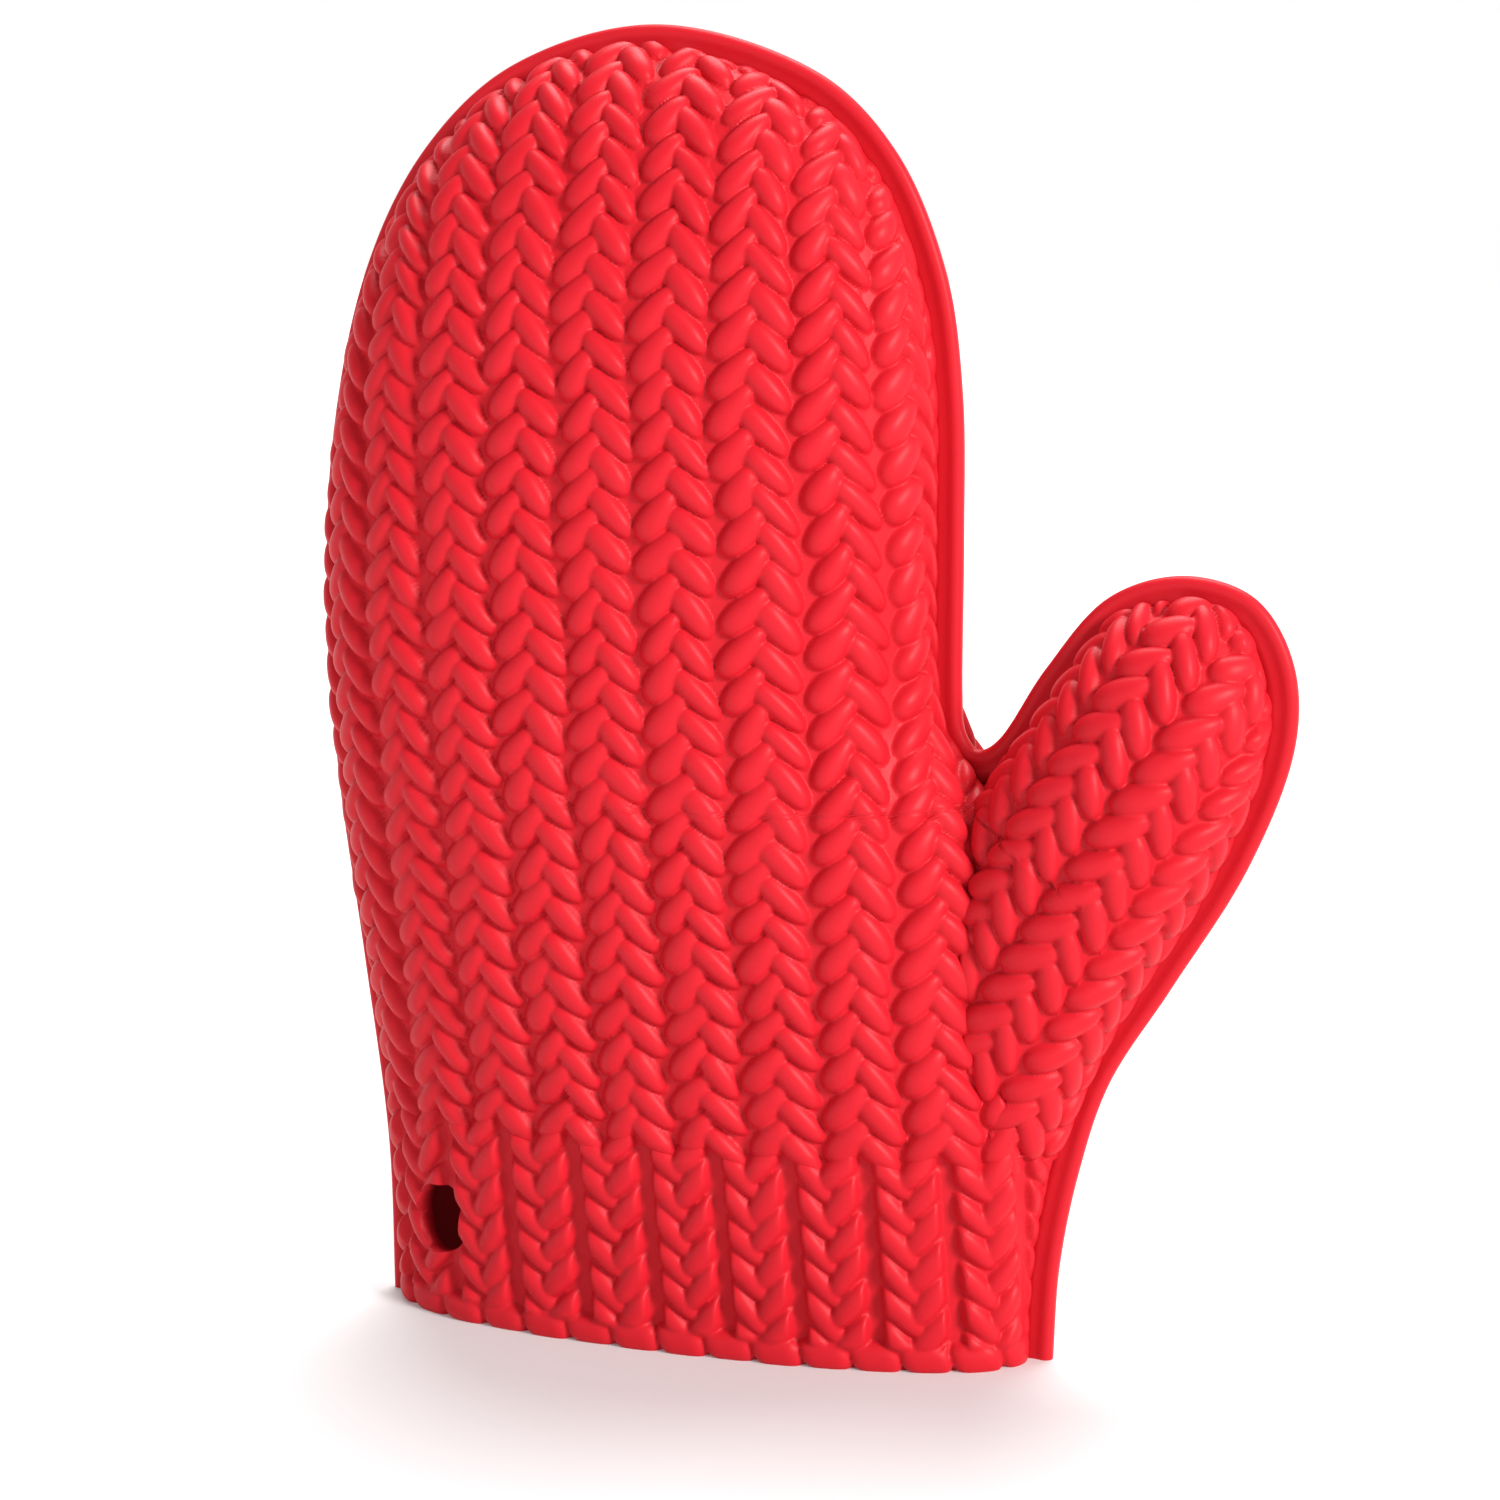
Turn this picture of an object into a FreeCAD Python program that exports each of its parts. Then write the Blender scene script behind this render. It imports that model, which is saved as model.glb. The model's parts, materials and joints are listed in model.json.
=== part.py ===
import FreeCAD, Part
import os

from FreeCAD import Placement, Rotation, Vector

# A moulded silicone oven mitt that stands on its cuff. Millimetres, +Z up through the
# fingers, +X towards the thumb, and the palm faces -Y. The origin is under the middle
# of the mitt's box. Two hollow halves, front (-Y) and back (+Y), meet at a flat rim in
# the XZ plane. Each half is made as one shell and then parted into the stretches that
# stay still, that bend and that swing.

# ---------------------------------------------------------------- driving sizes

SIZES = {
    "wall": 2.0,
    "rim_thickness": 3.6,
    "edge_height": 7.0,
    "edge_bulge": 2.2,
    "cuff_height": 46.0,
    "knuckle_start": 136.0,
    "finger_start": 200.0,
    "body_gap": 0.3,
    "thumb_side": 41.8,
    "thumb_lean": 33.0,
    "fold_lean": 14.7,
    "fold_height": 130.6,
    "fold_reach": 32.0,
    "hole_radius": 6.5,
    "hole_across": -74.6,
    "hole_out": 15.0,
    "hole_level": 22.9,
    "hole_turn": 24.0,
    "hole_reach": 8.0,
    "space": 160.0,
}

# Hand stations: name, height, left edge, right edge, half thickness.
HAND = [
    ("mouth", 0.0, -88.8, 53.4, 22.5),
    ("cuff", 23.0, -89.2, 53.2, 24.2),
    ("wrist", 46.0, -90.7, 52.0, 26.6),
    ("lower_heel", 68.0, -93.6, 49.5, 29.5),
    ("heel", 90.0, -96.8, 45.5, 32.3),
    ("palm", 112.0, -99.7, 39.5, 34.5),
    ("upper_palm", 134.0, -101.7, 32.8, 36.0),
    ("knuckle", 156.0, -102.4, 31.9, 36.4),
    ("lower_finger", 178.0, -101.6, 31.9, 36.0),
    ("middle_finger", 200.0, -98.9, 31.6, 34.5),
    ("upper_finger", 220.0, -94.1, 29.6, 32.0),
    ("high_finger", 236.0, -87.9, 25.1, 28.3),
    ("shoulder", 249.0, -79.9, 18.8, 24.0),
    ("crown", 259.0, -70.9, 10.8, 19.5),
    ("upper_crown", 266.0, -61.0, 0.4, 14.8),
    ("top", 271.0, -50.5, -11.0, 9.6),
    ("peak", 274.0, -38.5, -23.4, 4.8),
]

# Thumb stations, along the leaning thumb: name, distance, left, right, half thickness.
THUMB = [
    ("thumb_root", 40.0, -8.0, 30.0, 9.0),
    ("thumb_cuff", 55.0, -15.0, 28.6, 14.0),
    ("thumb_heel", 70.0, -20.0, 25.0, 18.5),
    ("thumb_base", 85.0, -24.5, 20.7, 21.5),
    ("lower_thumb", 100.0, -27.5, 19.0, 23.0),
    ("thumb_middle", 115.0, -29.3, 18.9, 23.6),
    ("thumb_knuckle", 130.0, -29.5, 18.7, 23.5),
    ("upper_thumb", 145.0, -28.8, 17.4, 22.6),
    ("thumb_shoulder", 158.0, -28.7, 15.0, 20.6),
    ("high_thumb", 168.0, -27.8, 11.6, 17.6),
    ("thumb_crown", 176.0, -24.8, 7.2, 13.5),
    ("thumb_top", 182.0, -19.0, 0.4, 8.8),
    ("thumb_peak", 185.5, -13.2, -4.4, 4.0),
]

# The rim's outer edge in the XZ plane, clockwise from the cuff's left corner.
RIM_EDGE = [
    (-94.3, 0.0), (-95.2, 35.0), (-100.4, 77.0), (-105.9, 118.0), (-107.9, 158.0),
    (-105.4, 194.0), (-97.0, 228.6), (-82.9, 254.2), (-62.0, 272.0), (-29.8, 280.0),
    (4.2, 270.6), (22.0, 254.2), (32.9, 230.0), (36.8, 205.0), (37.4, 175.0),
    (37.3, 145.0), (38.3, 134.6), (41.8, 130.6), (46.2, 133.4), (55.4, 148.3),
    (68.0, 163.8), (83.5, 169.0), (98.3, 165.0), (106.5, 152.0), (107.2, 134.4),
    (98.2, 109.0), (82.8, 82.6), (70.2, 61.5), (63.8, 41.0), (60.0, 20.0), (58.9, 0.0),
]

doc = FreeCAD.newDocument("oven_mitt")
sheet = doc.addObject("Spreadsheet::Sheet", "sizes")
sheet_row = 0


def put(alias, value):
    """Write one driving size to the sheet under its alias."""
    global sheet_row
    sheet_row += 1
    sheet.set("A%d" % sheet_row, alias)
    sheet.set("B%d" % sheet_row, "%.6g" % value)
    sheet.setAlias("B%d" % sheet_row, alias)


for size_name, size_value in SIZES.items():
    put(size_name, size_value)
for name, level, left, right, depth in HAND + THUMB:
    put(name + "_level", level)
    put(name + "_centre", (left + right) / 2)
    put(name + "_half", (right - left) / 2)
    put(name + "_depth", depth)
doc.recompute()


def bind(thing, **cells):
    """Bind each property of a document object to an expression on the sheet."""
    for prop, expression in cells.items():
        thing.setExpression(prop, expression)


def cell(alias):
    """Name one cell as an expression sees it."""
    return "sizes." + alias


# ---------------------------------------------------------------- hollow shells


def oval(label, name, height_cell, shrink):
    """One elliptical section at a station, smaller all round by the shrink expression."""
    ring = doc.addObject("Part::Ellipse", label)
    bind(
        ring,
        MajorRadius="%s - %s" % (cell(name + "_half"), shrink),
        MinorRadius="%s - %s" % (cell(name + "_depth"), shrink),
    )
    ring.setExpression("Placement.Base.x", cell(name + "_centre"))
    ring.setExpression("Placement.Base.z", height_cell)
    return ring


def loft(label, rings):
    """A closed solid through a row of oval sections."""
    skin = doc.addObject("Part::Loft", label)
    skin.Sections = rings
    skin.Solid = True
    skin.Ruled = False
    return skin


def outer_solid(prefix, stations):
    """The outside of the hand or the thumb."""
    rings = [oval(prefix + "_" + s[0], s[0], cell(s[0] + "_level"), "0") for s in stations]
    return loft(prefix + "_outside", rings)


def inner_solid(prefix, stations, mouth_drop):
    """The hollow of the hand or the thumb, one wall inside the outer solid."""
    peak = cell(stations[-1][0] + "_level")
    squeeze = "(%s - 1.3 * sizes.wall) / %s" % (peak, peak)
    rings = []
    if mouth_drop:
        first = stations[0][0]
        below = "-" + cell(stations[1][0] + "_level")
        rings.append(oval(prefix + "_drop", first, below, "sizes.wall"))
    for station in stations:
        height = "%s * %s" % (cell(station[0] + "_level"), squeeze)
        rings.append(oval(prefix + "_in_" + station[0], station[0], height, "sizes.wall"))
    return loft(prefix + "_inside", rings)


def lean(label, solid):
    """A copy of a solid turned from upright to the thumb's lean."""
    tilted = doc.addObject("Part::Compound", label)
    tilted.Links = [solid]
    tilted.Placement = Placement(Vector(0, 0, 0), Rotation(Vector(0, 1, 0), 0))
    tilted.setExpression("Placement.Rotation.Axis.y", "1")
    tilted.setExpression("Placement.Rotation.Angle", "sizes.thumb_lean")
    return tilted


def rim_plate():
    """The flat rim: the closed outer edge, extruded through the parting plane."""
    curve = Part.BSplineCurve()
    curve.interpolate([Vector(x, 0, z) for x, z in RIM_EDGE])
    first = Vector(RIM_EDGE[0][0], 0, RIM_EDGE[0][1])
    last = Vector(RIM_EDGE[-1][0], 0, RIM_EDGE[-1][1])
    outline = doc.addObject("Part::Feature", "rim_outline")
    outline.Shape = Part.Face(Part.Wire([curve.toShape(), Part.makeLine(last, first)]))
    plate = doc.addObject("Part::Extrusion", "rim_plate")
    plate.Base = outline
    plate.Dir = Vector(0, 1, 0)
    plate.Solid = True
    plate.Symmetric = True
    bind(plate, LengthFwd="sizes.rim_thickness")
    return plate


def edge_band():
    """The cast-off edge: a band that bulges all round the cuff's mouth."""
    rings = []
    for part, share, swell in (("low", 0.0, 0.6), ("mid", 0.45, 1.0), ("high", 1.0, 0.5)):
        height = "sizes.edge_height * %g" % share
        rings.append(oval("edge_" + part, "mouth", height, "-(sizes.edge_bulge * %g)" % swell))
    return loft("edge_band", rings)


def hole_rod():
    """The hanging hole's cutter, square to the slanted wall of the front half."""
    rod = doc.addObject("Part::Cylinder", "hole_rod")
    bind(rod, Radius="sizes.hole_radius", Height="2 * sizes.hole_reach")
    turn = "sizes.hole_turn"
    rod.setExpression("Placement.Base.x", "sizes.hole_across + sizes.hole_reach * sin(%s)" % turn)
    rod.setExpression("Placement.Base.y", "sizes.hole_reach * cos(%s) - sizes.hole_out" % turn)
    rod.setExpression("Placement.Base.z", "sizes.hole_level")
    rod.setExpression("Placement.Rotation.Yaw", "-" + turn)
    rod.setExpression("Placement.Rotation.Pitch", "0")
    rod.setExpression("Placement.Rotation.Roll", "90")
    return rod


def fuse(label, shapes):
    """Join several solids."""
    joined = doc.addObject("Part::MultiFuse", label)
    joined.Shapes = shapes
    joined.Refine = False
    return joined


def cut(label, base, tool):
    """Take one solid out of another."""
    left = doc.addObject("Part::Cut", label)
    left.Base = base
    left.Tool = tool
    left.Refine = False
    return left


hand_outside = outer_solid("hand", HAND)
thumb_outside = lean("thumb_leaning", outer_solid("thumb", THUMB))
hand_inside = inner_solid("hand", HAND, True)
thumb_inside = lean("thumb_hollow_leaning", inner_solid("thumb", THUMB, False))

solid_mitt = fuse("solid_mitt", [hand_outside, thumb_outside, rim_plate(), edge_band()])
hollow = fuse("hollow", [hand_inside, thumb_inside])
open_mitt = cut("open_mitt", solid_mitt, hollow)

# The hanging hole goes through the front half only.
mitt = cut("mitt", open_mitt, hole_rod())

# ---------------------------------------------------------------- parting into nodes


def block(label, low_x, high_x, low_z, high_z, side):
    """A box from low to high in X and Z, on the front (-1) or back (+1) of the rim plane."""
    box = doc.addObject("Part::Box", label)
    bind(
        box,
        Length="(%s) - (%s)" % (high_x, low_x),
        Width="sizes.space",
        Height="(%s) - (%s)" % (high_z, low_z),
    )
    box.setExpression("Placement.Base.x", low_x)
    box.setExpression("Placement.Base.y", "-sizes.space" if side < 0 else "0")
    box.setExpression("Placement.Base.z", low_z)
    return box


def beyond_fold(label, side, gap):
    """A leaning box that holds everything past the thumb's bending stretch."""
    box = doc.addObject("Part::Box", label)
    box.Placement = Placement(Vector(0, 0, 0), Rotation(Vector(0, 1, 0), 0))
    bind(box, Length="sizes.space", Width="sizes.space", Height="2 * sizes.space")
    reach = "(sizes.fold_reach + %s)" % gap
    along = "sizes.space"
    tilt = "sizes.fold_lean"
    box.setExpression("Placement.Rotation.Axis.y", "1")
    box.setExpression("Placement.Rotation.Angle", "-" + tilt)
    # The box's lower corner: the fold's crotch end, out by the reach, down along the fold.
    box.setExpression(
        "Placement.Base.x",
        "sizes.thumb_side + %s * cos(%s) + %s * sin(%s)" % (reach, tilt, along, tilt),
    )
    box.setExpression("Placement.Base.y", "-sizes.space" if side < 0 else "0")
    box.setExpression(
        "Placement.Base.z",
        "sizes.fold_height + %s * sin(%s) - %s * cos(%s)" % (reach, tilt, along, tilt),
    )
    return box


def common(label, base, tool):
    """Keep what two solids share."""
    shared = doc.addObject("Part::Common", label)
    shared.Base = base
    shared.Tool = tool
    shared.Refine = False
    return shared


LEFT = "-sizes.space"
RIGHT = "sizes.space"
THUMB_SIDE = "sizes.thumb_side"
TOP = "2 * sizes.space"
ZONES = [
    ("cuff_edge", LEFT, RIGHT, "0", "sizes.edge_height"),
    ("cuff", LEFT, RIGHT, "sizes.edge_height", "sizes.cuff_height"),
    ("palm", LEFT, THUMB_SIDE, "sizes.cuff_height", "sizes.knuckle_start"),
    ("knuckle_flex", LEFT, THUMB_SIDE, "sizes.knuckle_start", "sizes.finger_start"),
    ("fingers", LEFT, THUMB_SIDE, "sizes.finger_start + sizes.body_gap", TOP),
]

nodes = []
for side, side_name in ((-1, "front"), (1, "back")):
    for zone, low_x, high_x, low_z, high_z in ZONES:
        label = zone + "_" + side_name
        space = block(label + "_space", low_x, high_x, low_z, high_z, side)
        nodes.append(common(label, mitt, space))
    label = "thumb_" + side_name
    swing_space = beyond_fold(label + "_space", side, "sizes.body_gap")
    side_space = block(label + "_side", THUMB_SIDE, RIGHT, "sizes.cuff_height", TOP, side)
    nodes.append(common(label, mitt, common(label + "_part", side_space, swing_space)))
    label = "thumb_flex_" + side_name
    past_space = beyond_fold(label + "_past", side, "0")
    nodes.append(common(label, mitt, cut(label + "_space", side_space, past_space)))

doc.recompute()

# ---------------------------------------------------------------- checks and files

for thing in doc.Objects:
    for state in thing.State:
        if state in ("Invalid", "Error"):
            raise RuntimeError("%s is %s" % (thing.Label, state))

os.makedirs("parts", exist_ok=True)
for node in nodes:
    shape = node.Shape
    if shape.isNull() or not shape.isValid():
        raise RuntimeError("%s has no valid shape" % node.Label)
    box = shape.BoundBox
    print(
        "%-20s solids %d volume %8.0f  x %.1f..%.1f y %.1f..%.1f z %.1f..%.1f"
        % (node.Label, len(shape.Solids), shape.Volume, box.XMin, box.XMax,
           box.YMin, box.YMax, box.ZMin, box.ZMax)
    )
for node in nodes:
    node.Shape.exportStep("parts/%s.step" % node.Label)
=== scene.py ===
import json
import math
from dataclasses import dataclass

import bpy
import numpy as np
from mathutils import Matrix, Vector


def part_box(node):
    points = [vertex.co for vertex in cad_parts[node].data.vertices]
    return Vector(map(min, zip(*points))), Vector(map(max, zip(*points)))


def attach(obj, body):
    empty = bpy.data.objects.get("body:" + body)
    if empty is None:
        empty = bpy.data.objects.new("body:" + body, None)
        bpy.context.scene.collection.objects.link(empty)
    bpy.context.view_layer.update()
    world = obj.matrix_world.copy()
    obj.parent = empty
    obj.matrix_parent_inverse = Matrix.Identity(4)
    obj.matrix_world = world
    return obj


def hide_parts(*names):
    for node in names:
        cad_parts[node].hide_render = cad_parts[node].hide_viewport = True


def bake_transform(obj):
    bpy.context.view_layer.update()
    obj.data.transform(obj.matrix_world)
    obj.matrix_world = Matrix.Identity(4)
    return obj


bl_info = {
    "name": "Knit Relief Oven Mitt",
    "version": (1, 0, 0),
    "blender": (4, 5, 0),
    "location": "View3D > Sidebar > Mitt",
    "description": "Moulds a silicone oven mitt with knitted relief around its CAD frame",
    "category": "Object",
}

# ---------------------------------------------------------------- the frame

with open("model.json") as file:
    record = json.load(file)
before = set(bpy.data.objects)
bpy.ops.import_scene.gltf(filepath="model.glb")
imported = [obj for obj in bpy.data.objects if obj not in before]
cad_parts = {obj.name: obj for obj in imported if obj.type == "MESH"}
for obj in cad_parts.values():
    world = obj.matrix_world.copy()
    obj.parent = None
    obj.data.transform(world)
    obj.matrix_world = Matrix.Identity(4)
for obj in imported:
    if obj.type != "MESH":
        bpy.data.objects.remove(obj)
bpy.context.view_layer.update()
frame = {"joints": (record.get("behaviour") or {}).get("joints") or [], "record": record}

MM = 0.001
CUFF_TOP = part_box("cuff_front")[1].z / MM
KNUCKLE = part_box("palm_front")[1].z / MM
FINGER_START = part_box("fingers_front")[0].z / MM
THUMB_HINGE = next(j for j in frame["joints"] if j["name"] == "thumb_pinch")
HOLE = next(m for m in frame["record"]["mounts"] if m["name"] == "hanging_hole")

FRONT = -1
BACK = 1
SIDE_NAMES = {FRONT: "front", BACK: "back"}

# ---------------------------------------------------------------- sizes of the form

# Each row is a section: its distance along the axis, its left and right edges on the
# parting plane and its half thickness, in millimetres.
HAND_SECTIONS = (
    (-6.0, -88.8, 53.4, 22.4),
    (0.0, -88.8, 53.4, 22.5),
    (23.0, -89.2, 54.4, 24.2),
    (34.0, -89.9, 56.0, 25.4),
    (46.0, -90.7, 58.0, 26.6),
    (57.0, -92.0, 58.0, 28.0),
    (68.0, -93.6, 56.6, 29.5),
    (90.0, -96.8, 54.0, 32.3),
    (112.0, -99.7, 48.5, 34.5),
    (124.0, -100.9, 41.6, 35.4),
    (134.0, -101.7, 35.0, 36.0),
    (145.0, -102.2, 32.4, 36.3),
    (156.0, -102.4, 31.9, 36.4),
    (178.0, -101.6, 31.9, 36.0),
    (200.0, -98.9, 31.6, 34.5),
    (220.0, -94.1, 29.6, 32.0),
    (236.0, -87.9, 25.1, 28.3),
    (249.0, -79.9, 18.8, 24.0),
    (259.0, -70.9, 10.8, 19.5),
    (266.0, -61.0, 0.4, 14.8),
    (271.0, -50.5, -11.0, 9.6),
    (274.0, -38.5, -23.4, 4.8),
    (274.9, -32.6, -29.4, 0.9),
)
THUMB_SECTIONS = (
    (40.0, -8.0, 33.0, 8.0),
    (55.0, -13.0, 29.0, 12.0),
    (70.0, -17.0, 25.5, 15.5),
    (85.0, -20.5, 22.0, 18.5),
    (100.0, -24.0, 19.6, 20.8),
    (115.0, -27.5, 18.9, 22.6),
    (130.0, -29.5, 18.7, 23.3),
    (145.0, -28.8, 17.4, 22.5),
    (158.0, -28.7, 15.0, 20.6),
    (168.0, -27.8, 11.6, 17.6),
    (176.0, -24.8, 7.2, 13.5),
    (182.0, -19.0, 0.4, 8.8),
    (185.5, -13.2, -4.4, 4.0),
    (186.4, -10.2, -7.4, 0.9),
)
THUMB_LEAN = math.radians(33.0)
HAND_LOW, HAND_TOP = HAND_SECTIONS[0][0], HAND_SECTIONS[-1][0]
THUMB_LOW, THUMB_TOP = THUMB_SECTIONS[0][0], THUMB_SECTIONS[-1][0]
# The least half width and depth of a section, so that none closes to nothing.
LEAST_HALF = 0.05
LEAST_DEPTH = 0.02

# The rim's outer edge, clockwise from the cuff's left corner to its right corner.
RIM_EDGE = (
    (-94.3, 0.0), (-95.2, 35.0), (-100.4, 77.0), (-105.9, 118.0), (-107.9, 158.0),
    (-105.4, 194.0), (-97.0, 228.6), (-82.9, 254.2), (-62.0, 272.0), (-29.8, 280.0),
    (4.2, 270.6), (22.0, 254.2), (32.9, 230.0), (36.8, 205.0), (37.4, 175.0),
    (37.4, 142.0), (38.1, 134.6), (41.0, 130.8), (45.6, 133.5), (55.2, 148.6),
    (68.0, 163.8), (83.5, 169.0), (98.3, 165.0), (106.5, 152.0), (107.2, 134.4),
    (98.2, 109.0), (82.8, 82.6), (70.2, 61.5), (63.8, 41.0), (60.0, 20.0), (58.9, 0.0),
)


def through(levels, values, at):
    """A smooth curve through values at rising levels.

    Between two levels it is the cubic that meets both values, and its slope at each
    level is the mean of the straight slopes on either side.
    """
    levels = np.asarray(levels, float)
    values = np.asarray(values, float)
    rise = np.diff(values) / np.diff(levels)
    slope = np.concatenate([rise[:1], (rise[1:] + rise[:-1]) / 2, rise[-1:]])
    k = np.clip(np.searchsorted(levels, at, side="right") - 1, 0, len(levels) - 2)
    step = levels[k + 1] - levels[k]
    f = (at - levels[k]) / step
    low = (1 + 2 * f) * (1 - f) ** 2 * values[k] + f * (1 - f) ** 2 * step * slope[k]
    high = f * f * (3 - 2 * f) * values[k + 1] + f * f * (f - 1) * step * slope[k + 1]
    return low + high


class Dome:
    """Half of a hollow form on the parting plane, made of sections square to a leaning axis.

    A section is half a rounded oval: across = centre - half * c^(2/n) and
    out = depth * s^(2/n), where c and s are the cosine and sine of an angle that runs
    from 0 at the left edge to pi at the right edge, and n is the fullness.
    """

    def __init__(self, sections, lean, fullness, sink, widest):
        self.table = np.array(sections)
        self.widest = widest
        self.lean = lean
        self.power = 2 / fullness
        self.sink = sink

    def spans(self, along):
        """Centre, half width and depth of the sections at the given distances."""
        left, right, depth = (
            through(self.table[:, 0], self.table[:, i], along) for i in (1, 2, 3)
        )
        depth = np.maximum(depth - self.sink, LEAST_DEPTH)
        return (left + right) / 2, (right - left) / 2, depth

    def place(self, along, across):
        """X and Z on the parting plane."""
        c, s = math.cos(self.lean), math.sin(self.lean)
        return along * s + across * c, along * c - across * s

    def points(self, along, angle, inset=0.0):
        """Points of the dome as (x, out, z), inset by a wall where asked."""
        centre, half, depth = self.spans(along)
        half = np.maximum(half - inset, LEAST_HALF)
        depth = np.maximum(depth - inset, LEAST_DEPTH)
        cosine, sine = np.cos(angle), np.abs(np.sin(angle))
        across = centre - half * np.sign(cosine) * np.abs(cosine) ** self.power
        x, z = self.place(along, across)
        return np.stack([x, depth * sine**self.power, z], -1)

    def out_at(self, x, z):
        """How far the dome stands out at a place on the parting plane, 0 past its edge."""
        c, s = math.cos(self.lean), math.sin(self.lean)
        along = x * s + z * c
        across = x * c - z * s
        inside = (along >= self.table[0, 0]) & (along <= self.table[-1, 0])
        centre, half, depth = self.spans(np.clip(along, self.table[0, 0], self.table[-1, 0]))
        reach = np.clip(1 - np.abs((across - centre) / half) ** (2 / self.power), 0, 1)
        return np.where(inside, depth * reach ** (self.power / 2), 0.0)


# The smooth base lies this far inside the form, to leave room for the relief.
RELIEF_SINK = 1.1
WALL = 2.0
HAND = Dome(HAND_SECTIONS, lean=0.0, fullness=2.35, sink=RELIEF_SINK, widest=156.0)
THUMB = Dome(THUMB_SECTIONS, lean=THUMB_LEAN, fullness=2.25, sink=RELIEF_SINK, widest=115.0)

# ---------------------------------------------------------------- the stitch relief


@dataclass
class Leaf:
    """One leaf of a stitch: an egg-shaped cushion that leans away from its column line.

    With i = 1 - |a/length|^2.6 - |b/width|^2.2, where a and b run along and across it, its
    height is height * (1 + thicken*t) * (sqrt(i + skirt) - sqrt(skirt)), divided by what
    that comes to at the middle, and its width is width * (1 - taper*t - pinch*t^2) at a
    share t of the way from its middle to its top.
    """

    centre: float
    drop: float
    length: float
    width: float
    height: float
    lean: float
    taper: float
    pinch: float
    thicken: float

    skirt = 0.04
    middle = 1.02
    length_power = 2.6
    width_power = 2.2
    # How far the random differences go, as a share of a size or in radians.
    size_change = 0.07
    height_change = 0.08
    turn_change = 0.08

    def over(self, dx, dy, stretch, swell, lift, turn):
        """Height at a distance outwards and up from the leaf's middle, 0 past its edge."""
        angle = math.radians(self.lean) + self.turn_change * turn
        a = dx * np.sin(angle) + dy * np.cos(angle)
        b = dx * np.cos(angle) - dy * np.sin(angle)
        share = np.clip(a / (self.length * (1 + self.size_change * stretch)), -1, 1)
        width = self.width * (1 + self.size_change * swell)
        width = width * (1 - self.taper * share - self.pinch * share**2)
        inside = 1 - np.abs(share) ** self.length_power - np.abs(b / width) ** self.width_power
        low = self.skirt**0.5
        full = (np.sqrt(np.clip(inside, 0, 1) + self.skirt) - low) / (self.middle - low)
        height = self.height * (1 + self.height_change * lift)
        return height * (1 + self.thicken * share) * full


@dataclass
class Knit:
    """A pair of leaves, the distance between rows and the ridge that they stand on."""

    row: float
    ridge: float
    ridge_width: float
    leaves: tuple


CREASE_SHARPNESS = 22.0
# How many columns and rows have random differences of their own, before they repeat.
TABLE_COLUMNS = 64
TABLE_ROWS = 128
# How far a leaf's place varies outwards and upwards, and a column's start and spacing.
SHIFT_OUT = 0.3
SHIFT_UP = 0.45
ROW_SHIFT = 0.9
ROW_DRIFT = 0.022
# How far below its first row a column's ridge starts, and over what length it rises.
RIDGE_FOOT = 5.0
RIDGE_FADE = 2.0
# A leaf's distance out from the column line, its drop below its partner, half length,
# half width, height, lean in degrees, taper, pinch and thickening.
FACE = Knit(8.0, 0.35, 6.5, (
    Leaf(2.95, 0.0, 7.0, 3.25, 2.8, 37, 0.18, 0.10, -0.03),
    Leaf(3.05, 3.2, 7.0, 3.0, 2.75, 39, -0.06, 0.10, 0.08),
))
RIB = Knit(7.9, 0.7, 6.2, (
    Leaf(3.2, 0.0, 7.4, 2.9, 2.8, 37, 0.06, 0.05, -0.05),
    Leaf(3.05, 2.6, 7.6, 3.0, 3.0, 37, 0.06, 0.05, -0.03),
))


def stitch_relief(knit, column, pitch, rise, lowest, seed):
    """Height of a knitted face: columns of leaf pairs that lean together like a roof.

    column counts the columns and its fraction runs from one side of a column to the
    other, and rise is the distance up the surface. Each column's rows start at lowest,
    and drift apart a little from column to column. Overlapping leaves, and the ridge
    ridge * sqrt(1 - |x/width|^6) under them, add as a high power sum, which keeps the
    crease between them sharp.
    """
    rng = np.random.default_rng(seed)
    tables = rng.uniform(-1, 1, (6, TABLE_COLUMNS, TABLE_ROWS, 2))
    shift_x, shift_y, turn, stretch, swell, lift = tables
    phase = rng.uniform(-ROW_SHIFT, ROW_SHIFT, TABLE_COLUMNS) + lowest
    drift = rng.uniform(-ROW_DRIFT, ROW_DRIFT, TABLE_COLUMNS)
    total = np.zeros_like(column)
    for near in (-1, 0, 1):
        k = np.floor(column).astype(int) + near
        x = (column - k - 0.5) * pitch
        k = k % TABLE_COLUMNS
        row = knit.row * (1 + drift[k])
        ridge = np.sqrt(np.clip(1 - np.abs(x / knit.ridge_width) ** 6, 0, 1))
        ridge = ridge * np.clip((rise - phase[k] + RIDGE_FOOT) / RIDGE_FADE, 0, 1)
        total += (knit.ridge * ridge) ** CREASE_SHARPNESS
        for side, leaf in enumerate(knit.leaves):
            start = phase[k] - leaf.drop
            first = np.floor((rise - start) / row).astype(int)
            for step in (-1, 0, 1, 2):
                j = np.maximum(first + step, 0)
                pick = (k, j % TABLE_ROWS, side)
                sign = 1.0 if side else -1.0
                dx = leaf.centre + SHIFT_OUT * shift_x[pick] - x * sign
                dy = rise - start - j * row - SHIFT_UP * shift_y[pick]
                bump = leaf.over(dx, dy, stretch[pick], swell[pick], lift[pick], turn[pick])
                total += np.where(first + step >= 0, bump, 0.0) ** CREASE_SHARPNESS
    return total ** (1 / CREASE_SHARPNESS)


# ---------------------------------------------------------------- mesh building

# The inside's grid has one point for this many of the outside's.
COARSE_STEP = 8


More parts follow.
